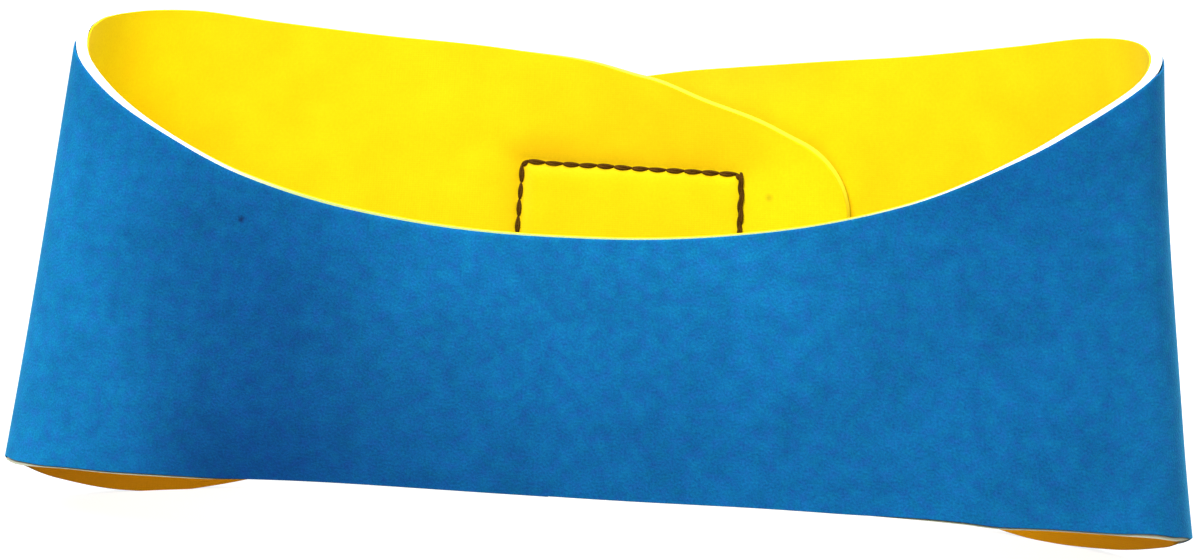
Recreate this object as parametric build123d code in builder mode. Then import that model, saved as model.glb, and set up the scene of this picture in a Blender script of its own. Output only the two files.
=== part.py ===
from build123d import *
import os
from math import acos, cos, degrees, sin, radians

os.makedirs("parts", exist_ok=True)

# Foam swimming headband, standing as it is worn: X across the head, -Y the forehead, +Y the nape.
# All sizes in millimetres. The origin is under the middle of the band, on the floor it stands on.

# Laminate: a foam core with a knitted jersey bonded on each face.
jersey_thickness = 0.4
foam_thickness = 2.2
glue_line = 0.03
foam_half = foam_thickness / 2
jersey_base = foam_half + glue_line
band_half = jersey_base + jersey_thickness
pad_gap = 0.08
pad_base = band_half + pad_gap

# Plan of the loop, taken at mid height, measured on the middle of the foam.
loop_half_width = 122.0
forehead_depth = 28.1
forehead_roundness = 2.59
nape_depth = 51.2
nape_roundness = 2.14
tail_spacing = 6.8
bend_gap = 0.3

# Flare: the loop grows towards its lower edge, about a point behind the nape.
flare_per_mm = 0.001
flare_centre_y = 118.6

# Where mid height and the side bends sit above and behind the origin.
mid_height = 52.815
bend_y = -13.73

# Upper and lower edge above mid height, every 15 degrees from the side bend to the middle.
forehead_top = [53.8, 48.5, 42.3, 34.8, 26.2, 20.0, 17.1]
forehead_bottom = [-42.5, -39.4, -38.2, -37.0, -35.9, -35.1, -35.3]
tail_top = [53.8, 57.5, 57.8, 55.0, 52.1, 49.5, 44.6]
tail_bottom = [-42.5, -47.9, -52.0, -52.5, -48.9, -44.5, -39.5]
station_step = 15
# The tails run on past the middle of the nape and end in two rounded corners.
tail_taper = {15: 39.8, 28: 35.7}
tail_end_x = 48.0
tail_corner_radius = 18.0
tail_corner_height = 15.0
tail_corner_turns = [23, 40, 56, 70, 82, 90]
tail_middle = 2.5
# Past this x the inner tail's free end leans out towards the outer tail.
lean_start_x = 28.0
lean_at_end = 2.8

# Fastening pads and the box seams that hold them.
tape_thickness = 0.5
hook_height = 1.0
pile_height = 1.0
thread_thickness = 0.5
bobbin_thickness = 0.3
seam_width = 0.6
seam_corner = 1.2
pad_corner = 4.0
seam_x = -2.3
seam_z = 2.5
hook_seam_size = (51.2, 41.8)
loop_seam_size = (72.0, 41.8)
tape_margin = 2.6
field_margin = 1.4


def plan_point(angle, depth, roundness):
    """Point on the loop's plan and its outward direction; depth is negative at the forehead."""
    across = abs(cos(radians(angle))) ** (2 / roundness)
    along = abs(sin(radians(angle))) ** (2 / roundness)
    side = 1 if angle <= 90 else -1
    point = Vector(side * loop_half_width * across, depth * along, 0)
    slope_x = side * across ** (roundness - 1) / loop_half_width
    slope_y = along ** (roundness - 1) / depth
    return point, Vector(slope_x, slope_y, 0).normalized()


def flared(point, height):
    """Moves a plan point to a height above mid height, along the flare."""
    scale = 1 - flare_per_mm * height
    x = point.X * scale
    y = flare_centre_y + (point.Y - flare_centre_y) * scale
    return Vector(x, y, height)


def section(angle, depth, roundness, bottom, top, inner, outer, side):
    """Cross-section of one layer: its plane and the four corners on it."""
    point, outward = plan_point(angle, depth, roundness)
    low = flared(point, bottom)
    high = flared(point, top)
    if depth < 0:
        shift = Vector(0, bend_y - bend_gap / 2, mid_height)
    else:
        shift = Vector(0, bend_y + bend_gap / 2, mid_height)
    flip = Vector(side, 1, 1)
    origin = Vector(low.X * flip.X, low.Y, low.Z) + shift
    rise = Vector((high.X - low.X) * flip.X, high.Y - low.Y, high.Z - low.Z)
    across = Vector(outward.X * flip.X, outward.Y, 0)
    plane = Plane(origin=origin, x_dir=across, z_dir=across.cross(rise))
    lean = rise.dot(plane.x_dir)
    height = rise.dot(plane.y_dir)
    corners = [(inner, 0), (outer, 0), (outer + lean, height), (inner + lean, height)]
    return plane, corners


def forehead_sections(inner, outer):
    """Sections of the forehead piece, from the right bend round to the left one."""
    found = []
    last = len(forehead_top) - 1
    for step in range(2 * last + 1):
        near = min(step, 2 * last - step)
        angle = near * station_step
        side = 1 if step <= last else -1
        found.append(
            section(angle, -forehead_depth, forehead_roundness,
                    forehead_bottom[near], forehead_top[near], inner, outer, side)
        )
    return found


def tail_stations():
    """Angle, lower edge, upper edge and lean of each station, from a tail's bend to its free end."""
    found = []
    for number, (bottom, top) in enumerate(zip(tail_bottom, tail_top)):
        found.append((station_step * number, bottom, top, 0))
    past = list(tail_taper.items())
    for turn in tail_corner_turns:
        x = tail_end_x - tail_corner_radius * (1 - sin(radians(turn)))
        top = tail_corner_height + tail_corner_radius * cos(radians(turn))
        past.append((x, top))
    for x, top in past:
        share = (x / loop_half_width) ** (nape_roundness / 2)
        along = max(x - lean_start_x, 0) / (tail_end_x - lean_start_x)
        found.append((180 - degrees(acos(share)), 2 * tail_middle - top, top, lean_at_end * along ** 2))
    return found


def tail_sections(depth, inner, outer, side, heights=None):
    """Sections of one tail from its bend to its free end, or of a plain band on its far part."""
    found = []
    for angle, bottom, top, lean in tail_stations():
        if heights:
            bottom, top = heights
        if side > 0:
            lean = 0
        found.append(
            section(angle, depth, nape_roundness, bottom, top, inner + lean, outer + lean, side)
        )
    return found


inner_depth = nape_depth
outer_depth = nape_depth + tail_spacing
layers = {
    "outer_jersey": (jersey_base, band_half),
    "foam_core": (-foam_half, foam_half),
    "inner_jersey": (-band_half, -jersey_base),
}

# Forehead piece: one strip per layer, from bend to bend.
for layer, (inner, outer) in layers.items():
    with BuildPart() as forehead:
        for plane, corners in forehead_sections(inner, outer):
            with BuildSketch(plane):
                with BuildLine():
                    Polyline(*corners, close=True)
                make_face()
        loft()
    name = "forehead_" + layer
    forehead.part.label = name
    export_step(forehead.part, "parts/" + name + ".step")

# Tails: the left one lies inside, the right one wraps over it; both end in rounded corners.
for tail, side, depth in (("inner_tail", -1, inner_depth), ("outer_tail", 1, outer_depth)):
    for layer, (inner, outer) in layers.items():
        with BuildPart() as strip:
            for plane, corners in tail_sections(depth, inner, outer, side):
                with BuildSketch(plane):
                    with BuildLine():
                        Polyline(*corners, close=True)
                    make_face()
            loft()
        name = tail + "_" + layer
        strip.part.label = name
        export_step(strip.part, "parts/" + name + ".step")


def pad_layer(side, depth, inner, outer, size, corner, hole=None):
    """A flat layer that follows a tail: a rounded rectangle, or a ring of it."""
    with BuildPart() as pad:
        for plane, corners in tail_sections(depth, inner, outer, side, (-40, 44)):
            with BuildSketch(plane):
                with BuildLine():
                    Polyline(*corners, close=True)
                make_face()
        loft()
        with BuildSketch(Plane.XZ.offset(-150)):
            with Locations((seam_x, mid_height + seam_z)):
                RectangleRounded(*size, corner)
                if hole:
                    RectangleRounded(*hole, corner - seam_width, mode=Mode.SUBTRACT)
        extrude(amount=300, mode=Mode.INTERSECT)
    return pad


def grown(size, margin):
    return (size[0] + 2 * margin, size[1] + 2 * margin)


seam_half = seam_width / 2
tape_top = pad_base + tape_thickness
field_base = tape_top + pad_gap
# Hook pad on the outer face of the inner tail, loop pad on the inner face of the outer tail.
pads = {
    "hook_tape": (-1, inner_depth, pad_base, tape_top,
                  grown(hook_seam_size, tape_margin), None),
    "hook_field": (-1, inner_depth, field_base, field_base + hook_height,
                   grown(hook_seam_size, -field_margin), None),
    "hook_seam_needle_thread": (-1, inner_depth, -pad_base - thread_thickness, -pad_base,
                                grown(hook_seam_size, seam_half), grown(hook_seam_size, -seam_half)),
    "hook_seam_bobbin_thread": (-1, inner_depth, field_base, field_base + bobbin_thickness,
                                grown(hook_seam_size, seam_half), grown(hook_seam_size, -seam_half)),
    "loop_tape": (1, outer_depth, -tape_top, -pad_base,
                  grown(loop_seam_size, tape_margin), None),
    "loop_pile": (1, outer_depth, -field_base - pile_height, -field_base,
                  grown(loop_seam_size, -field_margin), None),
    "loop_seam_needle_thread": (1, outer_depth, pad_base, pad_base + thread_thickness,
                                grown(loop_seam_size, seam_half), grown(loop_seam_size, -seam_half)),
    "loop_seam_bobbin_thread": (1, outer_depth, -field_base - bobbin_thickness, -field_base,
                                grown(loop_seam_size, seam_half), grown(loop_seam_size, -seam_half)),
}
for name, (side, depth, inner, outer, size, hole) in pads.items():
    pad = pad_layer(side, depth, inner, outer, size, seam_corner if hole else pad_corner, hole)
    pad.part.label = name
    export_step(pad.part, "parts/" + name + ".step")
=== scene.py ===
import bpy
import math
import random
from mathutils import Matrix, Vector


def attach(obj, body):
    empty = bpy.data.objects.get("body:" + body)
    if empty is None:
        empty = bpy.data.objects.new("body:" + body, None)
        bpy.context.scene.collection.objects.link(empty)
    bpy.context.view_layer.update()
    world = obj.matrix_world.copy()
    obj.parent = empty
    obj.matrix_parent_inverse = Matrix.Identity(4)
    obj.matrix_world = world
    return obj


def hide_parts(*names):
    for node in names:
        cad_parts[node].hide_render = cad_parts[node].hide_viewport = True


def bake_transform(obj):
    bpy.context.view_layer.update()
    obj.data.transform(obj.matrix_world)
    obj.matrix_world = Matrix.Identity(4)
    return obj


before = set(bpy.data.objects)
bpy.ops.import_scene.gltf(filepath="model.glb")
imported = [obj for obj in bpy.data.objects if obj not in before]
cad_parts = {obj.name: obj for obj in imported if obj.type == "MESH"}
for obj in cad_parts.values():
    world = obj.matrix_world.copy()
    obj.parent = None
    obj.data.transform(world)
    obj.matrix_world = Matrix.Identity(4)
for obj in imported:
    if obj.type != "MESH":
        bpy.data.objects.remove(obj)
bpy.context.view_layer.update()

MM = 0.001
rng = random.Random(7)

# ---------------------------------------------------------------- the band's shape, in millimetres
# Plan of the loop at mid height, on the middle of the foam; each half has a depth and a roundness.
HALF_WIDTH = 122.0
FOREHEAD = (-28.1, 2.59)
NAPE = (51.2, 2.14)
# The outer tail runs this far behind the inner one.
TAIL_SPACING = 6.8
# The loop grows towards its lower edge, about a point behind the nape.
FLARE = 0.001
FLARE_Y = 118.6
# Where mid height and the side bends lie from the origin.
MID_Z = 52.815
BEND_Y = -13.73
# Faces of the layers and of the tape on them, outwards from the middle of the foam.
FOAM = 1.1
JERSEY_IN = 1.13
FACE = 1.53
TAPE_TOP = 2.11
TAPE_GAP = 0.02
# Creases sharper than these angles, in degrees, stay sharp on the layers, the tapes and the rest.
LAYER_CREASE, TAPE_CREASE, CREASE = 38, 40, 60

# Edge heights above mid height: (station, height), station 0 front middle, 1 side bend, 2 nape.
TOP = [(-1 / 6, 20.0), (0, 17.1), (1 / 6, 20.0), (2 / 6, 26.2), (3 / 6, 34.8), (4 / 6, 42.3),
       (5 / 6, 48.5), (1, 53.8), (7 / 6, 57.5), (8 / 6, 57.8), (9 / 6, 55.0), (10 / 6, 52.1),
       (11 / 6, 49.5), (2, 44.6)]
LOW = [(-1 / 6, -35.1), (0, -35.3), (1 / 6, -35.1), (2 / 6, -35.9), (3 / 6, -37.0), (4 / 6, -38.2),
       (5 / 6, -39.4), (1, -42.5), (7 / 6, -47.9), (8 / 6, -52.0), (9 / 6, -52.5), (10 / 6, -48.9),
       (11 / 6, -44.5), (2, -39.5)]
# Past the nape the tails taper to two rounded corners, which start at a turn from upright.
TAPER = [(15, 39.8), (28, 35.7)]
CORNER_START = math.radians(23)
END_X = 48.0
END_TOP = 26.8
CORNER = 18.0
CORNER_Z = 15.0
TAIL_Z = 2.5
# The inner tail's free end leans out towards the outer tail.
LEAN_X = 28.0
LEAN = 3.3

# The sides spread a little more than the flare: (amount, height it starts at, 1 upwards or -1 down).
SPREAD = {-1: [(0.00026, 15, -1)], 1: [(0.0007, 10, 1), (0.0008, -20, -1)]}

# Box seams of the two pads: their middle across, width and height, and the radius of their corners.
SEAM_X = -2.3
HOOK_BOX = (51.2, 41.8)
LOOP_BOX = (72.0, 41.8)
BOX_CORNER = 1.2
# The hook pad's seam isn't quite true: its left side leans, its top falls to the right.
SEWN_HALF = 25
SEWN_LEAN = 0.045
SEWN_LEAN_Z = 15.8
SEWN_LEAN_LOW = -10
SEWN_FALL = 0.012
SEWN_RAISE = 0.1
SEWN_CORNER_RAISE = 0.55
# The stitching draws a face in, (depth, reach) close by and broadly, outside the box and inside it.
PULL_OUTSIDE = ((0.20, 1.2), (0.75, 4.0))
PULL_INSIDE = ((0.60, 1.0), (0.35, 2.5))
# Past this station a tail carries its pad.
PAD_STATION = 1.55

# How finely the plan is followed, and how the tails' corners are rounded, in steps that grow smaller.
PLAN_STEPS = 4000
CORNER_STEPS = 16
CORNER_CROWDING = 1.25


def smooth(points, x):
    """Smooth curve through (x, y) points."""
    n = len(points)
    i = max(k for k in range(n - 1) if k == 0 or points[k][0] <= x)

    def slope(k):
        a, b = points[max(k - 1, 0)], points[min(k + 1, n - 1)]
        return (b[1] - a[1]) / (b[0] - a[0])

    (x0, y0), (x1, y1) = points[i], points[i + 1]
    w = x1 - x0
    u = (x - x0) / w
    a, b = slope(i) * w, slope(i + 1) * w
    return (y0 * (2 * u ** 3 - 3 * u * u + 1) + a * (u ** 3 - 2 * u * u + u)
            + y1 * (3 * u * u - 2 * u ** 3) + b * (u ** 3 - u * u))


def past_nape(x):
    """Station of a point that lies x beyond the middle of the nape."""
    return 3 - math.degrees(math.acos((x / HALF_WIDTH) ** (NAPE[1] / 2))) / 90


ROUND_X = END_X - CORNER * (1 - math.sin(CORNER_START))
for x, z in TAPER + [(ROUND_X, CORNER_Z + CORNER * math.cos(CORNER_START)), (END_X, END_TOP)]:
    TOP.append((past_nape(x), z))
    LOW.append((past_nape(x), 2 * TAIL_Z - z))


# The cut isn't quite even: (station, change) on the left and right halves, upper and lower edge.
TOP_CHANGE = {
    -1: [(-0.2, 0), (0, -0.1), (0.3, -0.2), (0.5, -0.4), (0.62, -0.4), (0.74, 0.1), (0.84, 0.2),
         (1.0, 0.7), (1.05, 0.8), (1.1, 0.1), (1.16, -0.6), (1.24, -0.9), (1.32, -0.9), (1.6, -0.5),
         (1.85, 0.1), (1.94, 0.6), (2.0, -0.2), (2.1, -0.2), (2.25, 0), (2.4, 0)],
    1: [(-0.2, 0), (0, -0.1), (0.3, 0.0), (0.45, 0.3), (0.55, 0.8), (0.65, 1.7), (0.75, 2.2),
        (0.85, 2.2), (1.0, 1.5), (1.1, 0.9), (1.3, 0.0), (1.5, -0.4), (1.8, -1.4), (1.9, -1.1),
        (1.97, -0.6), (2.4, 0)],
}
LOW_CHANGE = {
    -1: [(-0.2, 0.1), (0, 0.0), (0.15, -0.4), (0.25, -0.7), (0.33, -1.3), (0.42, -1.3), (0.5, -1.2),
         (0.6, -0.8), (0.7, -0.8), (0.79, -0.8), (0.87, 0.1), (0.94, 0.8), (1.06, 0.7), (7 / 6, 0.6),
         (8 / 6, -0.1), (1.42, -0.3), (1.5, 0.7), (1.56, 1.4), (1.65, 0.7), (1.8, 0), (2.4, 0)],
    1: [(-0.2, 0.1), (0, 0.1), (0.3, 0.2), (0.4, 0.0), (0.45, -0.35), (0.49, -0.15), (0.54, 0.1),
        (0.65, 0.15), (0.72, 0.0), (0.78, -0.2), (0.86, -0.4), (0.92, 0.2), (1.0, 1.2), (1.06, 1.5),
        (7 / 6, 1.6), (1.24, 1.5), (1.3, 1.2), (1.4, 0.4), (1.5, -0.2), (1.6, 0.1), (1.8, 0), (2.4, 0)],
}
# The cut is bevelled in places: how far its inner edge stands above its outer one, top and bottom.
TOP_BEVEL = {
    -1: [(-0.2, 0.15), (0, 0.15), (0.25, 0.2), (0.4, 0.1), (0.5, 0.05), (0.6, 0.35), (0.68, 0.5),
         (0.76, 0.5), (0.84, 0.5), (0.92, 0.8), (0.98, 0.8), (1.04, 0.2), (1.1, 0), (1.85, 0),
         (2.0, -0.4), (2.2, -0.4), (2.4, -0.2)],
    1: [(-0.2, 0.15), (0, 0.15), (0.25, 0.2), (0.45, 0.3), (0.6, 0.7), (0.7, 0.5), (0.85, 0), (1.1, 0),
        (2.4, 0)],
}
LOW_BEVEL = {
    -1: [(-0.2, 0), (0.8, 0), (0.9, -0.6), (1.1, -0.8), (1.3, -0.3), (1.45, 0), (2.4, 0)],
    1: [(-0.2, 0), (0.8, 0), (0.9, 0.2), (0.97, 0), (1.04, -0.7), (1.15, -0.7), (1.3, -0.3), (1.4, 0),
        (2.4, 0)],
}


def edges(side, t):
    """Lower and upper edge above mid height at a station."""
    return (smooth(LOW, t) + smooth(LOW_CHANGE[side], t),
            smooth(TOP, t) + smooth(TOP_CHANGE[side], t))


# How far a jersey's cut stands back from the foam's: blue above on each side, yellow above, blue below.
BLUE_TRIM = {
    -1: [(-0.2, 0), (0.8, 0), (0.86, 0.4), (0.92, 1.2), (0.98, 2.0), (1.12, 1.2), (1.4, 0.5),
         (1.85, 0.5), (1.95, 0.9), (2.1, 1.3), (2.4, 1.3)],
    1: [(-0.2, 0), (0.88, 0), (0.94, 0.6), (1.0, 1.0), (1.1, 0.8), (1.3, 0.5), (1.85, 0.5), (1.95, 0.9),
        (2.4, 0.9)],
}
YELLOW_TRIM = [(-0.2, 0), (0.35, 0), (0.6, 0.45), (0.95, 0.5), (1.12, 0), (2.4, 0)]
BLUE_LOW_TRIM = [(-0.2, 0), (0.24, 0), (0.36, 0.5), (0.66, 0.5), (0.76, 0.9), (0.9, 0.8), (1.0, 0),
                 (2.4, 0)]


def wall(side, t, height, offset):
    """Point on the band: side -1 or 1, station t, height over mid height, offset outwards."""
    depth, power = FOREHEAD if t < 1 else NAPE
    if t >= 1 and side > 0:
        depth += TAIL_SPACING
    angle = (1 - t) * math.pi / 2 if t < 1 else (t - 1) * math.pi / 2
    c, s = math.cos(angle), math.sin(angle)
    across, along = abs(c) ** (2 / power), abs(s) ** (2 / power)
    sign = 1 if c >= 0 else -1
    nx = sign * across ** (power - 1) / HALF_WIDTH
    ny = along ** (power - 1) / depth
    n = math.hypot(nx, ny)
    scale = 1 - FLARE * height
    if side < 0 and t > 2:
        offset += LEAN * (max(HALF_WIDTH * across - LEAN_X, 0) / (END_X - LEAN_X)) ** 2
    x = sign * HALF_WIDTH * across * scale + nx / n * offset
    for amount, start, way in SPREAD[side]:
        x += amount * max(way * (height - start), 0) ** 2 * across ** 2
    y = FLARE_Y + (depth * along - FLARE_Y) * scale + ny / n * offset
    return Vector((side * x, BEND_Y + y, MID_Z + height))


def stations(side, step, fine=None, trim=None, low_trim=None):
    """Columns of half the band: station, run from the front, lower and upper edge, a step apart.

    fine is a range of x on the tail and the closer step there; the trims shorten the edges.
    """
    short = trim[-1][1] if trim else 0
    radius = CORNER - short
    round_x = END_X - CORNER + radius * math.sin(CORNER_START)
    last = past_nape(round_x)
    out, run = [(0.0, 0.0)], 0.0
    before = wall(1, 0, 0, 0)
    for k in range(1, PLAN_STEPS + 1):
        t = last * k / PLAN_STEPS
        here = wall(1, t, 0, 0)
        run += (here - before).length
        before = here
        near = fine and t > PAD_STATION and fine[0] < -here.x < fine[1]
        if run - out[-1][1] >= (fine[2] if near else step):
            out.append((t, run))
    if last - out[-1][0] < 1e-3:
        out.pop()
    out.append((last, run))
    found = []
    for t, d in out:
        low, high = edges(side, t)
        low += smooth(low_trim, t) if low_trim else 0
        high -= smooth(trim, t) if trim else 0
        found.append((t, d, low, high))
    for k in range(1, CORNER_STEPS + 1):
        share = 1 - (1 - k / CORNER_STEPS) ** CORNER_CROWDING
        a = CORNER_START + (math.pi / 2 - CORNER_START) * share
        x = END_X - CORNER + radius * math.sin(a)
        top = CORNER_Z + radius * math.cos(a)
        t = past_nape(x)
        found.append((t, run + x - round_x, 2 * TAIL_Z - top + smooth(LOW_CHANGE[side], t),
                      top + smooth(TOP_CHANGE[side], t)))
    return found


NAPE_RUN = next(d for t, d, low, high in stations(-1, 0.5) if t >= 2)


def box_distance(x, z, size):
    """Signed distance from the seam's rounded rectangle, negative inside."""
    dx = abs(x - SEAM_X) - size[0] / 2 + BOX_CORNER
    dz = abs(z - TAIL_Z) - size[1] / 2 + BOX_CORNER
    return math.hypot(max(dx, 0), max(dz, 0)) + min(max(dx, dz), 0) - BOX_CORNER


def seam_pull(distance):
    """How far the stitching draws a face in, at a distance from the seam, negative inside it."""
    close, broad = PULL_OUTSIDE if distance > 0 else PULL_INSIDE
    away = abs(distance)
    return close[0] * math.exp(-away / close[1]) + broad[0] * math.exp(-away / broad[1])


def sewn(x, z):
    """Where a point of the true rectangle lies in the hook pad's seam as it is sewn."""
    share = min(max((SEAM_X - x) / SEWN_HALF, 0), 1)
    lean = SEWN_LEAN * max(z - SEWN_LEAN_Z, SEWN_LEAN_LOW) * share
    return x + lean, z - SEWN_FALL * x + SEWN_RAISE + SEWN_CORNER_RAISE * share ** 8


def seam_pull_at(side, t, p):
    """How far a face is drawn in at a point of a tail."""
    if t < PAD_STATION:
        return 0.0
    x, z = p.x, p.z - MID_Z
    if side > 0:
        return seam_pull(box_distance(x, z, LOOP_BOX))
    moved = sewn(x, z)
    return seam_pull(box_distance(2 * x - moved[0], 2 * z - moved[1], HOOK_BOX))


def band_strip(name, side, near, far, columns, rows, profile, bulge, material, bevel, pull=0, sink=0.0):
    """One layer of half the band as a closed shell between the offsets near and far.

    profile is the cut edge's section as (way across, rise), bulge its height; bevel is each face's
    share of the bevels, pull the way the seam draws the layer, sink how deep its faces hide.
    """
    cols = len(columns)
    verts, cloth, faces = [], [], []

    def add(p, s, h):
        verts.append(p * MM)
        cloth.append((side * s * MM, h * MM, 0.0))
        return len(verts) - 1

    grids = []
    for offset, inner in ((far, False), (near, True)):
        grid = []
        for t, s, low, high in columns:
            line = []
            share = bevel[inner]
            low += share * smooth(LOW_BEVEL[side], t)
            high += share * smooth(TOP_BEVEL[side], t)
            for j in range(rows + 1):
                f = j / rows
                h = low + (high - low) * f
                edge = min(j, rows - j, cols - 1 - len(grid))
                here = offset
                if sink and 0 < edge:
                    here += sink if inner else -sink
                p = wall(side, t, h, here)
                if pull:
                    p = wall(side, t, h, here + pull * seam_pull_at(side, t, p))
                line.append(add(p, s, h))
            grid.append(line)
        grids.append(grid)
    out, back = grids
    flip = side < 0
    for k, grid in enumerate(grids):
        for i in range(cols - 1):
            for j in range(rows):
                quad = (grid[i][j], grid[i + 1][j], grid[i + 1][j + 1], grid[i][j + 1])
                faces.append(quad if (k == 0) == flip else quad[::-1])
    # the cut edge, round the border of both grids
    ring = [(i, 0) for i in range(cols)] + [(cols - 1, j) for j in range(1, rows + 1)]
    ring += [(i, rows) for i in range(cols - 2, -1, -1)] + [(0, j) for j in range(rows - 1, 0, -1)]
    count = len(ring)
    loops = [[out[i][j] for i, j in ring]]
    for w, rise in profile:
        loop = []
        for k, (i, j) in enumerate(ring):
            a, b = verts[out[i][j]], verts[back[i][j]]
            p = a.lerp(b, w)
            if not (i == 0 and 0 < j < rows):
                before = verts[out[ring[k - 1][0]][ring[k - 1][1]]]
                after = verts[out[ring[(k + 1) % count][0]][ring[(k + 1) % count][1]]]
                if i == 0:
                    along = (after - a) if j == 0 else (a - before)
                else:
                    along = after - before
                away = along.cross(a - b)
                if side < 0:
                    away.negate()
                p = p + away.normalized() * rise * bulge * MM
            verts.append(p)
            cloth.append((side * columns[i][1] * MM, cloth[out[i][j]][1], w * (far - near) * MM))
            loop.append(len(verts) - 1)
        loops.append(loop)
    loops.append([back[i][j] for i, j in ring])
    for a, b in zip(loops, loops[1:]):
        for k in range(count):
            m = (k + 1) % count
            quad = (a[k], b[k], b[m], a[m])
            faces.append(quad if flip else quad[::-1])
    return finish_mesh(name, verts, faces, material, cloth, LAYER_CREASE)


def finish_mesh(name, verts, faces, material, cloth=None, sharp=CREASE):
    """Makes the object; cloth is each point's place on the fabric, sharp a crease's least angle."""
    mesh = bpy.data.meshes.new(name)
    mesh.from_pydata([tuple(v) for v in verts], [], faces)
    mesh.update()
    if cloth:
        layer = mesh.attributes.new("cloth", "FLOAT_VECTOR", "POINT")
        layer.data.foreach_set("vector", [c for v in cloth for c in v])
    mesh.shade_smooth()
    mesh.set_sharp_from_angle(angle=math.radians(sharp))
    mesh.materials.append(material)
    obj = bpy.data.objects.new(name, mesh)
    bpy.context.scene.collection.objects.link(obj)
    return obj


# ---------------------------------------------------------------- materials
class Nodes:
    """Short way to write a material's nodes."""

    def __init__(self, name):
        self.material = bpy.data.materials.new(name)
        self.material.use_nodes = True
        self.tree = self.material.node_tree
        self.shader = self.tree.nodes["Principled BSDF"]

    def add(self, kind, **settings):
        node = self.tree.nodes.new(kind)
        for key, value in settings.items():
            setattr(node, key, value)
        return node

    def link(self, a, b):
        self.tree.links.new(a, b)

    def set(self, **values):
        for key, value in values.items():
            self.shader.inputs[key.replace("_", " ")].default_value = value

    def millimetres(self, metres):
        scale = self.add("ShaderNodeVectorMath", operation="SCALE")
        scale.inputs["Scale"].default_value = 1000
        self.link(metres, scale.inputs[0])
        return scale.outputs[0]

    def cloth(self):
        """The fabric's own coordinates in millimetres: along the band, up it, through it."""
        node = self.add("ShaderNodeAttribute", attribute_name="cloth")
        return self.millimetres(node.outputs["Vector"])

    def place(self):
        """Object coordinates in millimetres."""
        return self.millimetres(self.add("ShaderNodeTexCoord").outputs["Object"])

    def noise(self, at, scale, detail=2.0, rough=0.5):
        node = self.add("ShaderNodeTexNoise")
        node.inputs["Scale"].default_value = scale
        node.inputs["Detail"].default_value = detail
        node.inputs["Roughness"].default_value = rough
        self.link(at, node.inputs["Vector"])
        return node.outputs["Fac"]

    def ramp(self, fac, stops):
        node = self.add("ShaderNodeValToRGB")
        elements = node.color_ramp.elements
        while len(elements) < len(stops):
            elements.new(0.5)
        for element, (at, colour) in zip(elements, stops):
            element.position = at
            element.color = (*colour, 1)
        self.link(fac, node.inputs["Fac"])
        return node.outputs["Color"]

    def mix(self, a, b, fac, kind="MIX"):
        """Mixes two colours; each value is a number, a colour or another node's output."""
        node = self.add("ShaderNodeMix", data_type="RGBA", blend_type=kind)
        for value, socket in ((fac, node.inputs[0]), (a, node.inputs[6]), (b, node.inputs[7])):
            if isinstance(value, (int, float, tuple)):
                socket.default_value = value if isinstance(value, (int, float)) else (*value, 1)
            else:
                self.link(value, socket)
        return node.outputs[2]

    def math(self, kind, a, b=0.0, c=None):
        node = self.add("ShaderNodeMath", operation=kind)
        for value, socket in zip((a, b, c), node.inputs):
            if value is None:
                continue
            if isinstance(value, (int, float)):
                socket.default_value = value
            else:
                self.link(value, socket)
        return node.outputs[0]

    def bump(self, height, strength, distance):
        node = self.add("ShaderNodeBump")
        node.inputs["Strength"].default_value = strength
        node.inputs["Distance"].default_value = distance * MM
        self.link(height, node.inputs["Height"])
        self.link(node.outputs[0], self.shader.inputs["Normal"])

    def ranged(self, value, low, high, at_low, at_high, kind="SMOOTHSTEP"):
        """Clamped change from at_low to at_high while the value goes from low to high."""
        node = self.add("ShaderNodeMapRange", interpolation_type=kind)
        node.inputs["From Min"].default_value = low
        node.inputs["From Max"].default_value = high
        node.inputs["To Min"].default_value = at_low
        node.inputs["To Max"].default_value = at_high
        self.link(value, node.inputs["Value"])
        return node.outputs[0]

    def zone(self, at, centre, reach, gain):
        """A broad soft patch of the fabric: gain at its centre, 0 at its edge."""
        shift = self.add("ShaderNodeVectorMath", operation="SUBTRACT")
        shift.inputs[1].default_value = (*centre, 0)
        self.link(at, shift.inputs[0])
        size = self.add("ShaderNodeVectorMath", operation="MULTIPLY")
        size.inputs[1].default_value = (1 / reach[0], 1 / reach[1], 0)
        self.link(shift.outputs[0], size.inputs[0])
        length = self.add("ShaderNodeVectorMath", operation="LENGTH")
        self.link(size.outputs[0], length.inputs[0])
        return self.ranged(length.outputs["Value"], 0.0, 1.0, gain, 0.0)

    def spot(self, at, where, radius, soft):
        """1 at a small mark on the fabric, 0 away from it."""
        node = self.add("ShaderNodeVectorMath", operation="DISTANCE")
        self.link(at, node.inputs[0])
        node.inputs[1].default_value = where
        return self.ranged(node.outputs["Value"], radius, radius + soft, 1.0, 0.0, "LINEAR")

    def colour(self, colour):
        self.link(colour, self.shader.inputs["Base Color"])


BLUE_BASE = (0.0029, 0.110, 0.306)
# Broad patches of painted light and shade, partly also the napped pile lying differently from place to
# place; painted highlights run along both bends and high at the front middle:
# (middle along and up the band, reach along and up, change of brightness).
LIGHT_AND_NAP_ZONES = [((14, 20), (90, 44), 0.50), ((-64, 0), (34, 100), -0.30), ((-48, -44), (72, 40), -0.40),
             ((110, 0), (80, 90), 0.10), ((-136, 0), (54, 120), 1.12), ((-118, -44), (34, 20), 0.20),
             ((-92, -30), (18, 40), 0.16), ((-68, 28), (34, 22), 0.24), ((58, -15), (34, 44), 0.12),
             ((98, -46), (36, 28), 0.22), ((88, 34), (26, 24), -0.14), ((36, 16), (32, 18), 0.14),
             ((136, 0), (34, 120), 0.35)]
LIGHT_AND_NAP_SHARES = {"Red": 1.0, "Green": 1.0, "Blue": 0.72}
BLUE_SPECK = (-70.9, 17.2, 0)


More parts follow.
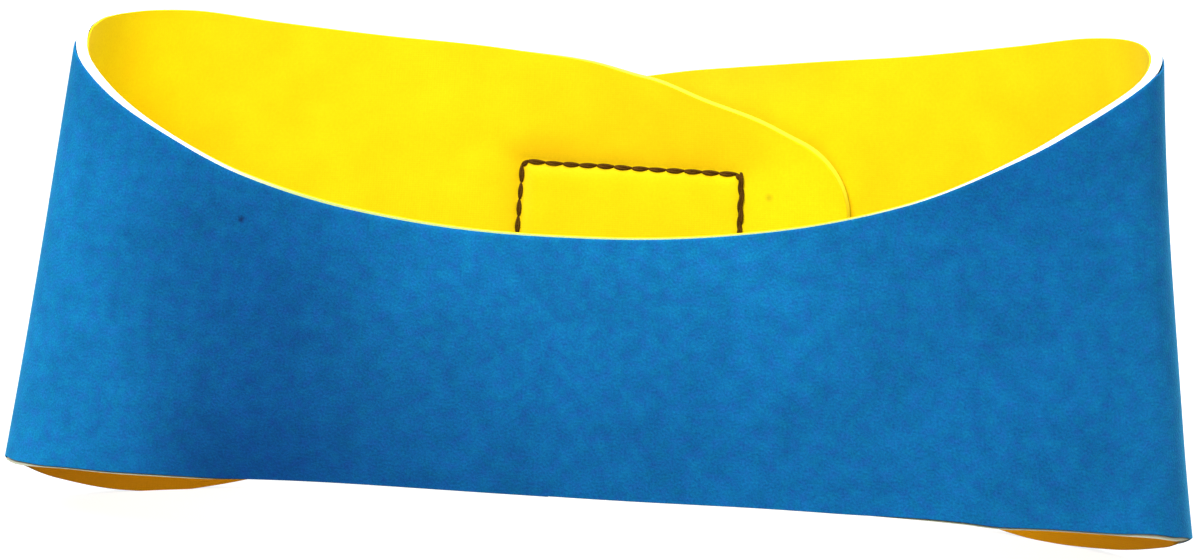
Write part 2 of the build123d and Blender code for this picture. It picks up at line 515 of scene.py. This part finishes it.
def blue_jersey():
    """Blue nylon jersey brushed to a short napped fuzz, with broad patches of painted light and shade."""
    m = Nodes("blue_brushed_jersey")
    at = m.cloth()
    broad = m.noise(at, 0.035, 3, 0.55)
    patch = m.noise(at, 0.22, 4, 0.62)
    hue = m.noise(at, 0.42, 3, 0.6)
    fuzz = m.noise(at, 2.2, 3, 0.6)
    base = m.ramp(patch, [(0.30, (0.0024, 0.080, 0.236)), (0.52, BLUE_BASE),
                          (0.74, (0.0040, 0.139, 0.370))])
    tint = m.ramp(hue, [(0.32, (0.0100, 0.077, 0.330)), (0.50, BLUE_BASE),
                        (0.70, (0.0024, 0.149, 0.292))])
    colour = m.mix(base, tint, 0.42)
    shade = m.ramp(broad, [(0.35, (0.88, 0.88, 0.88)), (0.65, (1.06, 1.06, 1.06))])
    colour = m.mix(colour, shade, 1.0, "MULTIPLY")
    # broad patches of painted light and shade, painted highlights at the bends; partly the napped pile's
    # own lie
    nap_and_light = m.zone(at, *LIGHT_AND_NAP_ZONES[0])
    for zone in LIGHT_AND_NAP_ZONES[1:]:
        nap_and_light = m.math("ADD", nap_and_light, m.zone(at, *zone))
    level = m.add("ShaderNodeCombineColor")
    for socket, share in LIGHT_AND_NAP_SHARES.items():
        m.link(m.math("MULTIPLY_ADD", nap_and_light, share, 1.0), level.inputs[socket])
    colour = m.mix(colour, level.outputs[0], 1.0, "MULTIPLY")
    speck = m.spot(at, BLUE_SPECK, 0.25, 0.7)
    colour = m.mix(colour, (0.004, 0.020, 0.075), m.math("MULTIPLY", speck, 0.8))
    grain = m.ramp(fuzz, [(0.28, (0.70, 0.74, 0.77)), (0.72, (1.25, 1.21, 1.18))])
    colour = m.mix(colour, grain, 1.0, "MULTIPLY")
    m.colour(colour)
    loops = m.add("ShaderNodeTexVoronoi", feature="SMOOTH_F1")
    loops.inputs["Scale"].default_value = 1.7
    m.link(at, loops.inputs["Vector"])
    height = m.math("ADD", m.math("MULTIPLY", loops.outputs["Distance"], 0.55), fuzz)
    m.bump(height, 0.55, 0.16)
    m.set(Roughness=0.92, Specular_IOR_Level=0.06, Sheen_Weight=0.75, Sheen_Roughness=0.30)
    m.shader.inputs["Sheen Tint"].default_value = (0.08, 0.62, 1.0, 1)
    return m.material


# Wales and courses of the yellow knit, and threads of the tape's weave: one every so many millimetres.
WALE, COURSE = 0.62, 0.48
WARP, WEFT = 0.7, 0.55
# Beside the box seam the painted shade and highlight are strongest at its top left,
# and fade along and down from there.
SEAM_FADE_ALONG, SEAM_FADE_UP = 36, 16
# Painted light and shade in broad patches: painted light on the inner tail's free end and high on the
# left
# side; painted shade above the free end and on the outer tail beside it:
# (middle along and up the band, reach along and up, tint).
YELLOW_PAINTED_LIGHT_ZONES = [((-NAPE_RUN - 38, 10), (30, 36), (1.0, 1.15, 1.2)),
                ((-NAPE_RUN - 4, 36), (52, 20), (0.97, 0.89, 1.0)),
                ((-NAPE_RUN + 24, 27), (14, 7), (0.96, 0.88, 1.0)),
                ((-150, 44), (34, 60), (1.18, 1.20, 0.2)),
                ((170, 34), (28, 32), (0.96, 0.91, 1.0)),
                ((NAPE_RUN - 34, 20), (34, 24), (0.99, 0.90, 0.9)),
                ((NAPE_RUN - 20, 46), (34, 16), (0.99, 0.88, 2.5))]
YELLOW_MARK = (-NAPE_RUN - 30.4, 18.4, 0)
# Painted shade: the lower edges at the sides, from these runs on, are painted a deeper orange for the
# shade inside the band; the right one less.
LOW_SHADE_RUN = (95, 125)
LOW_SHADE_HEIGHT = (-46, -34)
LOW_SHADE_ORANGE = (1.12, 0.66, 1.6)
LOW_SHADE_RIGHT = (1.26, 1.34, 1.2)


def yellow_jersey():
    """Yellow nylon jersey with its smooth face out, a fine plain knit."""
    m = Nodes("yellow_smooth_jersey")
    at = m.cloth()
    split = m.add("ShaderNodeSeparateXYZ")
    m.link(at, split.inputs[0])
    wale = m.math("SINE", m.math("MULTIPLY", split.outputs["X"], 2 * math.pi / WALE))
    course = m.math("SINE", m.math("MULTIPLY", split.outputs["Y"], 2 * math.pi / COURSE))
    knit = m.math("MULTIPLY", m.math("ADD", wale, 1.2), m.math("ADD", course, 1.4))
    patch = m.noise(at, 0.09, 3, 0.5)
    fine = m.noise(at, 1.5, 2, 0.6)
    base = m.ramp(patch, [(0.33, (0.855, 0.610, 0.0020)), (0.55, (0.86, 0.643, 0.0024)),
                          (0.75, (0.87, 0.672, 0.0030))])
    grain = m.ramp(fine, [(0.3, (0.965, 0.95, 0.9)), (0.7, (1.02, 1.02, 1.05))])
    colour = m.mix(base, grain, 1.0, "MULTIPLY")
    # the box seam gathers the cloth, and its pucker's light and shade are painted:
    # painted shade outside it, a painted highlight just inside
    across = m.math("ABSOLUTE", m.math("SUBTRACT", split.outputs["X"], -NAPE_RUN - SEAM_X))
    upward = m.math("ABSOLUTE", m.math("SUBTRACT", split.outputs["Y"], TAIL_Z))
    apart = m.math("MAXIMUM", m.math("SUBTRACT", across, HOOK_BOX[0] / 2),
                   m.math("SUBTRACT", upward, HOOK_BOX[1] / 2))
    level = 0.05 - 12 / SEAM_FADE_UP + (NAPE_RUN - 2) / SEAM_FADE_ALONG
    where = m.math("MULTIPLY_ADD", split.outputs["Y"], 1 / SEAM_FADE_UP, level)
    where = m.math("MULTIPLY_ADD", split.outputs["X"], 1 / SEAM_FADE_ALONG, where)
    where.node.use_clamp = True
    # painted shade outside the seam
    deep = m.math("MULTIPLY", m.ranged(apart, -0.3, 0.2, 0.0, 1.0), m.ranged(apart, -6.0, 9.0, 1.6, 0.0))
    colour = m.mix(colour, (0.90, 0.84, 0.80), m.math("MULTIPLY", deep, where), "MULTIPLY")
    # painted highlight just inside the seam
    seam_painted_highlight = m.math("MULTIPLY", m.ranged(apart, -3.5, -0.4, 0.0, 1.0), m.ranged(apart, -0.4, 0.1, 1.0, 0.0))
    colour = m.mix(colour, (1.0, 1.03, 3.0), m.math("MULTIPLY", seam_painted_highlight, where), "MULTIPLY")
    # painted light and shade in broad patches
    for centre, reach, change in YELLOW_PAINTED_LIGHT_ZONES:
        colour = m.mix(colour, change, m.zone(at, centre, reach, 1.0), "MULTIPLY")
    # painted shade: deeper orange low on the sides, less on the right
    low = m.ranged(split.outputs["Y"], *LOW_SHADE_HEIGHT, 1.0, 0.0)
    sides = m.ranged(m.math("ABSOLUTE", split.outputs["X"]), *LOW_SHADE_RUN, 0.0, 1.0)
    colour = m.mix(colour, LOW_SHADE_ORANGE, m.math("MULTIPLY", low, sides), "MULTIPLY")
    right = m.ranged(split.outputs["X"], *LOW_SHADE_RUN, 0.0, 1.0)
    colour = m.mix(colour, LOW_SHADE_RIGHT, m.math("MULTIPLY", low, right), "MULTIPLY")
    mark = m.spot(at, YELLOW_MARK, 0.3, 0.9)
    colour = m.mix(colour, (0.50, 0.42, 0.005), m.math("MULTIPLY", mark, 0.6))
    m.colour(colour)
    height = m.math("ADD", m.math("MULTIPLY", knit, 0.18), m.math("MULTIPLY", fine, 0.7))
    m.bump(height, 0.30, 0.07)
    m.set(Roughness=0.85, Specular_IOR_Level=0.06, Sheen_Weight=0.03, Sheen_Roughness=0.5)
    return m.material


# The foam's cut edge is tinted: a dark yellow along the forehead, darker towards the lower cut, and much
# yellow at the inner tail's end, painted lighter there against the end face's shade. Each has its tint,
# the range over which it fades, and its share.
FOAM_FRONT_TINT = ((0.31, 0.40, 0.09), (55, 102, 0.95, 0.0))
FOAM_LOW_DARKENING = ((0.50, 0.49, 0.34), (-34, -24, 0.9, 0.0))
FOAM_END_TINT_AND_HIGHLIGHT = ((0.98, 0.88, 0.035), (-262, -236, 1.0, 0.0))


def white_foam():
    """White closed-cell foam, cut, with fine pores."""
    m = Nodes("white_cut_foam")
    at = m.place()
    cells = m.add("ShaderNodeTexVoronoi", feature="F1")
    cells.inputs["Scale"].default_value = 3.2
    m.link(at, cells.inputs["Vector"])
    pores = m.ramp(cells.outputs["Distance"], [(0.10, (0.80, 0.80, 0.76)), (0.34, (0.93, 0.93, 0.91))])
    cloud = m.noise(at, 0.25, 2)
    tone = m.ramp(cloud, [(0.35, (0.96, 0.96, 0.93)), (0.65, (1.0, 1.0, 1.0))])
    colour = m.mix(pores, tone, 1.0, "MULTIPLY")
    split = m.add("ShaderNodeSeparateXYZ")
    m.link(m.cloth(), split.inputs[0])
    run, height = split.outputs["X"], split.outputs["Y"]
    # tints on the cut edge, darker low down; at the inner tail's end also painted lighter against its
    # shade
    for (tint, fade), value in ((FOAM_FRONT_TINT, m.math("ABSOLUTE", run)), (FOAM_LOW_DARKENING, height), (FOAM_END_TINT_AND_HIGHLIGHT, run)):
        colour = m.mix(colour, tint, m.ranged(value, *fade))
    m.colour(colour)
    m.bump(cells.outputs["Distance"], 0.35, 0.10)
    m.set(Roughness=0.88, Specular_IOR_Level=0.2)
    m.shader.inputs["Subsurface Weight"].default_value = 0.15
    m.shader.inputs["Subsurface Scale"].default_value = 0.002
    return m.material


def thread(name, dark, light):
    """Spun thread between two tones."""
    m = Nodes(name)
    at = m.place()
    fine = m.noise(at, 3.0, 2, 0.6)
    m.colour(m.ramp(fine, [(0.3, dark), (0.7, light)]))
    m.bump(m.noise(at, 9.0, 2), 0.4, 0.04)
    m.set(Roughness=0.8, Specular_IOR_Level=0.10)
    return m.material


def woven_tape():
    """Plain-woven black tape."""
    m = Nodes("black_woven_tape")
    at = m.place()
    split = m.add("ShaderNodeSeparateXYZ")
    m.link(at, split.inputs[0])
    warp = m.math("SINE", m.math("MULTIPLY", split.outputs["X"], 2 * math.pi / WARP))
    weft = m.math("SINE", m.math("MULTIPLY", split.outputs["Z"], 2 * math.pi / WEFT))
    weave = m.math("MULTIPLY", warp, weft)
    fac = m.math("MULTIPLY_ADD", weave, 0.5, 0.5)
    m.colour(m.ramp(fac, [(0.1, (0.010, 0.010, 0.012)), (0.9, (0.042, 0.042, 0.048))]))
    m.bump(weave, 0.5, 0.08)
    m.set(Roughness=0.7, Specular_IOR_Level=0.35)
    return m.material


def nylon(name, dark, light, rough):
    """Nylon of the hooks and the pile, between two tones."""
    m = Nodes(name)
    at = m.place()
    fine = m.noise(at, 0.8, 3, 0.6)
    m.colour(m.ramp(fine, [(0.3, dark), (0.7, light)]))
    m.bump(m.noise(at, 5.0, 2), 0.25, 0.03)
    m.set(Roughness=rough, Specular_IOR_Level=0.5, Sheen_Weight=0.1)
    return m.material


BLUE = blue_jersey()
YELLOW = yellow_jersey()
WHITE = white_foam()
THREAD = thread("dark_thread", (0.045, 0.019, 0.0006), (0.115, 0.050, 0.0012))
TAPE = woven_tape()
HOOKS = nylon("black_hook_nylon", (0.012, 0.012, 0.014), (0.03, 0.03, 0.034), 0.38)
PILE = nylon("black_loop_pile", (0.010, 0.010, 0.012), (0.035, 0.035, 0.04), 0.8)

# ---------------------------------------------------------------- the three layers, left and right
# Section of the cut edges: (way across the layer, share of the bulge), and how far they bulge.
FOAM_EDGE = [(0.06, 0.45), (0.2, 0.85), (0.5, 1.0), (0.8, 0.85), (0.94, 0.45)]
CLOTH_EDGE = [(0.15, 0.6), (0.5, 1.0), (0.85, 0.6)]
FOAM_BULGE, CLOTH_BULGE = 0.05, 0.10
# The foam's broad faces lie under the jerseys, so they stand a little inside.
FOAM_SINK = 0.85
# Columns stand this far apart, and closer over the range of x where a face shows a box seam.
STEP = 2.2
SEWN_BLUE = (-44, 42, 0.9)
SEWN_YELLOW = (-32, 34, 0.8)
ROWS_PLAIN, ROWS_SEWN_BLUE, ROWS_SEWN_YELLOW, ROWS_FOAM = 48, 110, 120, 40
BODY = {-1: "inner_tail", 1: "outer_tail"}
TAG = {-1: "left", 1: "right"}
for side in (-1, 1):
    outer = side > 0
    coarse = stations(side, STEP)
    blue_cols = stations(side, STEP, SEWN_BLUE if outer else None, BLUE_TRIM[side], BLUE_LOW_TRIM)
    yellow_cols = stations(side, STEP, None if outer else SEWN_YELLOW, YELLOW_TRIM)
    blue = band_strip(f"outer_jersey_{TAG[side]}", side, JERSEY_IN, FACE, blue_cols,
                      ROWS_SEWN_BLUE if outer else ROWS_PLAIN, CLOTH_EDGE, CLOTH_BULGE, BLUE, (0, 0),
                      pull=-1 if outer else 0)
    yellow = band_strip(f"inner_jersey_{TAG[side]}", side, -FACE, -JERSEY_IN, yellow_cols,
                        ROWS_PLAIN if outer else ROWS_SEWN_YELLOW, CLOTH_EDGE, CLOTH_BULGE, YELLOW,
                        (1, 1), pull=0 if outer else 1)
    foam = band_strip(f"foam_core_{TAG[side]}", side, -FOAM, FOAM, coarse, ROWS_FOAM,
                      FOAM_EDGE, FOAM_BULGE, WHITE, (0, 1), sink=FOAM_SINK)
    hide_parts("forehead_outer_jersey", f"{BODY[side]}_outer_jersey")
    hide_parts("forehead_inner_jersey", f"{BODY[side]}_inner_jersey")
    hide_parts("forehead_foam_core", f"{BODY[side]}_foam_core")
    for piece, slot in ((blue, "jersey_blue"), (yellow, "jersey_yellow"), (foam, "foam_white")):
        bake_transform(piece)


# ---------------------------------------------------------------- pads and stitching
# A stitch: its length, how much of each corner it cuts off, and how many steps it is drawn in.
STITCH_PITCH = 3.95
CORNER_CUT = 1.2
STITCH_STEPS = 15
# Its two plies: turn along the stitch, spread sideways and outwards as shares of the radius.
PLY_TURN = 0.36
PLY_WIDE, PLY_HIGH = 0.5, 0.35
# It dives this deep at its ends, along a flattened arch; a ply's radius is these shares of the thread's,
# the second one at the top of the arch only, and the thread itself varies a little.
STITCH_DEPTH = 1.50
ARCH_START, ARCH_SPAN, ARCH_POWER = 0.04, 0.92, 0.4
PLY_ENDS, PLY_SWELL = 0.36, 0.30
PLY_SIDES = 7
THREAD_VARIES = (0.9, 1.12)
NEEDLE_RADIUS, BOBBIN_RADIUS = 0.50, 0.22
NEEDLE_WANDER, BOBBIN_WANDER = 0.12, 0.05
# A run ends with stitches sewn back over themselves: how many, how far beside and above, how proud.
TACK_STITCHES = 6
TACK_DRIFT = (0.05, 0.35)
TACK_RISE = (1.9, 1.7)
TACK_PROUD = 0.18

# Pads: the tape stands out past its seam, the hooks and the pile stop short of it.
TAPE_MARGIN = 2.6
FIELD_MARGIN = 1.4
PAD_CORNER = 4.0
PAD_GRID = (36, 24)
# Hooks stand in rows, each a stem that curls over by a little more than half a turn and grows thinner.
HOOK_ROW, HOOK_PITCH = 1.15, 1.35
HOOK_STEM, HOOK_CURL, HOOK_TURN = 0.55, 0.33, 1.15
HOOK_RADII = [0.16, 0.13, 0.12, 0.11, 0.10, 0.09, 0.06]
HOOK_SIDES = 5
HOOK_INSET = 0.4
# Loops of pile: how many are tried, how far they keep from the field's edge, their reach and height.
LOOP_COUNT = 2600
LOOP_INSET, LOOP_EDGE = 0.8, 0.7
LOOP_REACH, LOOP_TALL = (0.6, 1.2), (0.55, 0.85)
LOOP_RADIUS, LOOP_SIDES = 0.07, 4
# Hooks and loops are rooted this deep in their tape.
HOOK_ROOT, LOOP_ROOT = 0.05, 0.04


def on_tail(side, x, z, offset):
    """Point over a tail, straight behind x and z (z from mid height), at an offset outwards."""
    scale = 1 - FLARE * z
    across = side * x / scale
    share = min(abs(across) / HALF_WIDTH, 1) ** (NAPE[1] / 2)
    angle = math.degrees(math.acos(share))
    t = 1 + angle / 90 if across >= 0 else 3 - angle / 90
    return wall(side, t, z, offset)


def box_path(size):
    """Needle holes round the seam's rectangle in x and z, with a short stitch across each corner."""
    w, h = size[0] / 2, size[1] / 2
    corners = [(w, h), (-w, h), (-w, -h), (w, -h)]
    holes = []
    for (ax, az), (bx, bz) in zip(corners, corners[1:] + corners[:1]):
        length = math.hypot(bx - ax, bz - az)
        count = round((length - 2 * CORNER_CUT) / STITCH_PITCH)
        for k in range(count + 1):
            f = (CORNER_CUT + (length - 2 * CORNER_CUT) * k / count) / length
            holes.append((SEAM_X + ax + (bx - ax) * f, TAIL_Z + az + (bz - az) * f))
    return holes


def tube(points, radius, sides, verts, faces):
    """Adds a round tube along points, closed at both ends; radius is one number or one per point."""
    rings = []
    for k, p in enumerate(points):
        d = (points[min(k + 1, len(points) - 1)] - points[max(k - 1, 0)]).normalized()
        a = d.orthogonal().normalized() if abs(d.y) > 0.95 else d.cross(Vector((0, 1, 0))).normalized()
        b = d.cross(a)
        r = radius[k] if isinstance(radius, list) else radius
        ring = []
        for s in range(sides):
            v = math.tau * s / sides
            verts.append((p + (a * math.cos(v) + b * math.sin(v)) * r) * MM)
            ring.append(len(verts) - 1)
        rings.append(ring)
    for r0, r1 in zip(rings, rings[1:]):
        for s in range(sides):
            e = (s + 1) % sides
            faces.append((r0[s], r1[s], r1[e], r0[e]))
    faces.append(tuple(rings[0]))
    faces.append(tuple(reversed(rings[-1])))


def stitches(name, side, size, face, outward, radius, body, node, wander, tacked=False):
    """A run of lock stitches: two-ply thread that dips into the cloth at each needle hole."""
    holes = box_path(size)
    count = len(holes)
    jitter = [(rng.uniform(-wander, wander), rng.uniform(-wander, wander)) for _ in holes]
    holes = [(x + jx, z + jz) for (x, z), (jx, jz) in zip(holes, jitter)]
    if side < 0:
        holes = [sewn(x, z) for x, z in holes]
    pairs = [(holes[k], holes[(k + 1) % count], 0.0) for k in range(count)]
    if tacked:
        for k in range(count - TACK_STITCHES, count - 1):
            (ax, az), (bx, bz) = holes[k], holes[k + 1]
            drift = rng.uniform(*TACK_DRIFT)
            pairs.append(((ax + drift, az + TACK_RISE[0]), (bx + drift, bz + TACK_RISE[1]), TACK_PROUD))
    verts, faces = [], []
    for a, b, proud in pairs:
        fat = radius * rng.uniform(*THREAD_VARIES)
        dx, dz = b[0] - a[0], b[1] - a[1]
        n = math.hypot(dx, dz)
        for strand in (0, 1):
            points, radii = [], []
            for s in range(STITCH_STEPS + 1):
                f = s / STITCH_STEPS
                rise = math.sin(math.pi * (ARCH_START + ARCH_SPAN * f)) ** ARCH_POWER
                turn = math.tau * (PLY_TURN * f - PLY_TURN / 2 + 0.5 * strand)
                wide = fat * PLY_WIDE * rise * math.cos(turn)
                high = fat * PLY_HIGH * rise * math.sin(turn)
                x = a[0] + dx * f - dz / n * wide
                z = a[1] + dz * f + dx / n * wide
                p = on_tail(side, x, z, face)
                q = on_tail(side, x, z, face + outward)
                points.append(p + (q - p).normalized() * (rise - STITCH_DEPTH + proud + high))
                radii.append(fat * (PLY_ENDS + PLY_SWELL * rise))
            tube(points, radii, PLY_SIDES, verts, faces)
    obj = finish_mesh(name, verts, faces, THREAD)
    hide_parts(node)
    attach(obj, body)


def pad_sheet(name, side, box, inner, outer, material, body, node):
    """A rectangle of tape with rounded corners that lies on a tail, round its box seam."""
    w, h = (box[0] + 2 * TAPE_MARGIN) / 2, (box[1] + 2 * TAPE_MARGIN) / 2
    nx, nz = PAD_GRID
    verts, faces, cloth = [], [], []

    def spread(u, v):
        # pulls the grid's corners in to a rounded rectangle
        x, z = u * w, v * h
        over = max(abs(x) - (w - PAD_CORNER), 0), max(abs(z) - (h - PAD_CORNER), 0)
        far = math.hypot(*over)
        reach = max(over)
        if far > 1e-9:
            k = reach / far
            x = math.copysign(min(abs(x), w - PAD_CORNER) + over[0] * k, x)
            z = math.copysign(min(abs(z), h - PAD_CORNER) + over[1] * k, z)
        return SEAM_X + x, TAIL_Z + z

    grids = []
    for offset in (outer, inner):
        grid = []
        for i in range(nx + 1):
            line = []
            for j in range(nz + 1):
                x, z = spread(2 * i / nx - 1, 2 * j / nz - 1)
                p = on_tail(side, x, z, offset)
                verts.append(p * MM)
                cloth.append((x * MM, z * MM, 0.0))
                line.append(len(verts) - 1)
            grid.append(line)
        grids.append(grid)
    for k, grid in enumerate(grids):
        for i in range(nx):
            for j in range(nz):
                quad = (grid[i][j], grid[i][j + 1], grid[i + 1][j + 1], grid[i + 1][j])
                faces.append(quad if k == 0 else quad[::-1])
    ring = [(i, 0) for i in range(nx)] + [(nx, j) for j in range(nz)]
    ring += [(i, nz) for i in range(nx, 0, -1)] + [(0, j) for j in range(nz, 0, -1)]
    a, b = ([g[i][j] for i, j in ring] for g in grids)
    for k in range(len(ring)):
        m = (k + 1) % len(ring)
        faces.append((a[k], a[m], b[m], b[k]))
    obj = finish_mesh(name, verts, faces, material, cloth, TAPE_CREASE)
    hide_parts(node)
    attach(obj, body)
    return obj


def hook_field(name):
    """Rows of small moulded hooks on a thin backing."""
    w, h = HOOK_BOX[0] - 2 * FIELD_MARGIN, HOOK_BOX[1] - 2 * FIELD_MARGIN
    verts, faces = [], []
    rows, cols = int(h / HOOK_ROW), int(w / HOOK_PITCH)
    for r in range(rows):
        for c in range(cols):
            x = SEAM_X - w / 2 + w * (c + 0.5) / cols
            z = TAIL_Z - h / 2 + h * (r + 0.5) / rows
            if box_distance(x, z, (w + HOOK_INSET, h + HOOK_INSET)) > -HOOK_INSET:
                continue
            lean = 1 if r % 2 else -1
            foot = on_tail(-1, x, z, TAPE_TOP)
            out = (on_tail(-1, x, z, TAPE_TOP + 1) - foot).normalized()
            sideways = Vector((0, 0, lean))
            points = [foot - out * HOOK_ROOT]
            for s in range(6):
                a = math.pi * HOOK_TURN * s / 5
                points.append(foot + out * (HOOK_STEM + HOOK_CURL * math.sin(a))
                              + sideways * HOOK_CURL * (1 - math.cos(a)))
            tube(points, HOOK_RADII, HOOK_SIDES, verts, faces)
    obj = finish_mesh(name, verts, faces, HOOKS)
    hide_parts("hook_field")
    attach(obj, "inner_tail")


def loop_pile(name):
    """Brushed loops, each a small arch of fibre in its own direction."""
    w, h = LOOP_BOX[0] - 2 * FIELD_MARGIN, LOOP_BOX[1] - 2 * FIELD_MARGIN
    verts, faces = [], []
    for _ in range(LOOP_COUNT):
        x = SEAM_X + rng.uniform(-w / 2 + LOOP_INSET, w / 2 - LOOP_INSET)
        z = TAIL_Z + rng.uniform(-h / 2 + LOOP_INSET, h / 2 - LOOP_INSET)
        if box_distance(x, z, (w, h)) > -LOOP_EDGE:
            continue
        turn = rng.uniform(0, math.tau)
        reach, tall = rng.uniform(*LOOP_REACH), rng.uniform(*LOOP_TALL)
        points = []
        for s in range(6):
            f = s / 5
            a = math.pi * f
            px = x + math.cos(turn) * reach * (f - 0.5)
            pz = z + math.sin(turn) * reach * (f - 0.5)
            points.append(on_tail(1, px, pz, -TAPE_TOP - tall * math.sin(a) + LOOP_ROOT))
        tube(points, LOOP_RADIUS, LOOP_SIDES, verts, faces)
    obj = finish_mesh(name, verts, faces, PILE)
    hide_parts("loop_pile")
    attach(obj, "outer_tail")


hook_tape = pad_sheet("hook_tape_woven", -1, HOOK_BOX, FACE + TAPE_GAP, TAPE_TOP, TAPE,
                      "inner_tail", "hook_tape")
loop_tape = pad_sheet("loop_tape_woven", 1, LOOP_BOX, -TAPE_TOP, -FACE - TAPE_GAP, TAPE,
                      "outer_tail", "loop_tape")
hook_field("hook_field_moulded")
loop_pile("loop_pile_brushed")
stitches("hook_seam_needle_stitches", -1, HOOK_BOX, -FACE, -1, NEEDLE_RADIUS, "inner_tail",
         "hook_seam_needle_thread", NEEDLE_WANDER, tacked=True)
stitches("hook_seam_bobbin_stitches", -1, HOOK_BOX, TAPE_TOP, 1, BOBBIN_RADIUS, "inner_tail",
         "hook_seam_bobbin_thread", BOBBIN_WANDER)
stitches("loop_seam_needle_stitches", 1, LOOP_BOX, FACE, 1, NEEDLE_RADIUS, "outer_tail",
         "loop_seam_needle_thread", NEEDLE_WANDER)
stitches("loop_seam_bobbin_stitches", 1, LOOP_BOX, -TAPE_TOP, -1, BOBBIN_RADIUS, "outer_tail",
         "loop_seam_bobbin_thread", BOBBIN_WANDER)


# ---------------------------------------------------------------- floor, lights and camera, in metres
# The white studio floor runs back and then turns up in a quarter circle.
FLOOR_HALF = 5
FLOOR_FRONT, FLOOR_BACK = -4.0, 1.2
SWEEP_RADIUS, SWEEP_STEPS = 1.2, 16
WALL_TOP = 5.0
FLOOR_GLOW = 0.86
# Soft boxes: name, place, aim, width and height, power.
LIGHTS = [("key_softbox", (-0.55, -1.35, 1.3), (0, 0, 0.05), (1.0, 0.8), 39),
          ("fill_softbox", (1.5, -0.7, 0.8), (0, 0, 0.05), (1.2, 1.2), 12),
          ("back_softbox", (0.3, 1.6, 0.9), (0, 0, 0.05), (1.2, 0.8), 16),
          ("top_softbox", (0.0, 0.0, 1.7), (0, 0, 0.0), (1.4, 1.4), 22)]
# The sky is dim below the level and full above it.
SKY_LEVEL = 0.52
SKY_FADE = {"From Min": -0.25, "From Max": 0.1, "To Min": 0.05, "To Max": 1.0}
# The camera looks at the middle of the band at mid height, a little off centre; shifts in millimetres.
LENS, SENSOR = 98.53, 36
AZIMUTH, ELEVATION, ROLL = (math.radians(angle) for angle in (12.267, 8.0, 1.317))
SHIFT_RIGHT, SHIFT_UP, DISTANCE = 2.338, 4.724, 700


def stage():
    """Floor and backdrop in one sweep."""
    m = Nodes("white_studio")
    at = m.place()
    m.colour(m.ramp(m.noise(at, 0.004, 2), [(0.3, (0.24, 0.24, 0.24)), (0.7, (0.26, 0.26, 0.26))]))
    m.set(Roughness=0.9, Specular_IOR_Level=0.1, Emission_Strength=FLOOR_GLOW)
    m.shader.inputs["Emission Color"].default_value = (1, 1, 1, 1)
    verts, faces = [], []
    profile = [(FLOOR_FRONT, 0.0), (FLOOR_BACK, 0.0)]
    for k in range(1, SWEEP_STEPS + 1):
        a = math.pi / 2 * k / SWEEP_STEPS
        profile.append((FLOOR_BACK + SWEEP_RADIUS * math.sin(a), SWEEP_RADIUS * (1 - math.cos(a))))
    profile.append((FLOOR_BACK + SWEEP_RADIUS, WALL_TOP))
    for y, z in profile:
        verts += [(-FLOOR_HALF, y, z), (FLOOR_HALF, y, z)]
    for k in range(len(profile) - 1):
        faces.append((2 * k, 2 * k + 1, 2 * k + 3, 2 * k + 2))
    obj = finish_mesh("studio_floor", verts, faces, m.material)
    obj.visible_diffuse = False


def area_light(name, place, aim, size, power):
    """A soft box at a place, turned to its aim."""
    light = bpy.data.lights.new(name, "AREA")
    light.shape = "RECTANGLE"
    light.size, light.size_y = size
    light.energy = power
    obj = bpy.data.objects.new(name, light)
    obj.location = place
    obj.rotation_mode = "QUATERNION"
    obj.rotation_quaternion = (Vector(aim) - Vector(place)).to_track_quat("-Z", "Y")
    bpy.context.scene.collection.objects.link(obj)


stage()
for light in LIGHTS:
    area_light(*light)

world = bpy.data.worlds.new("studio")
bpy.context.scene.world = world
world.use_nodes = True
nodes, links = world.node_tree.nodes, world.node_tree.links
background = nodes["Background"]
background.inputs["Strength"].default_value = SKY_LEVEL
direction = nodes.new("ShaderNodeTexCoord")
split = nodes.new("ShaderNodeSeparateXYZ")
fade = nodes.new("ShaderNodeMapRange")
for key, value in SKY_FADE.items():
    fade.inputs[key].default_value = value
links.new(direction.outputs["Generated"], split.inputs[0])
links.new(split.outputs["Z"], fade.inputs["Value"])
links.new(fade.outputs[0], background.inputs["Color"])

camera = bpy.data.cameras.new("camera")
camera.sensor_width = SENSOR
camera.lens = LENS
camera.clip_start, camera.clip_end = 0.01, 50
eye = bpy.data.objects.new("camera", camera)
bpy.context.scene.collection.objects.link(eye)
back = Vector((math.sin(AZIMUTH) * math.cos(ELEVATION), -math.cos(AZIMUTH) * math.cos(ELEVATION),
               math.sin(ELEVATION)))
right = (-back).cross(Vector((0, 0, 1))).normalized()
upward = right.cross(-back)
right, upward = (right * math.cos(ROLL) + upward * math.sin(ROLL),
                 upward * math.cos(ROLL) - right * math.sin(ROLL))
place = Vector((0, BEND_Y, MID_Z)) + right * SHIFT_RIGHT + upward * SHIFT_UP + back * DISTANCE
matrix = Matrix((right, upward, back)).transposed().to_4x4()
matrix.translation = place * MM
eye.matrix_world = matrix
bpy.context.scene.camera = eye
bpy.context.scene.view_settings.view_transform = "Standard"
bpy.context.scene.view_settings.look = "None"
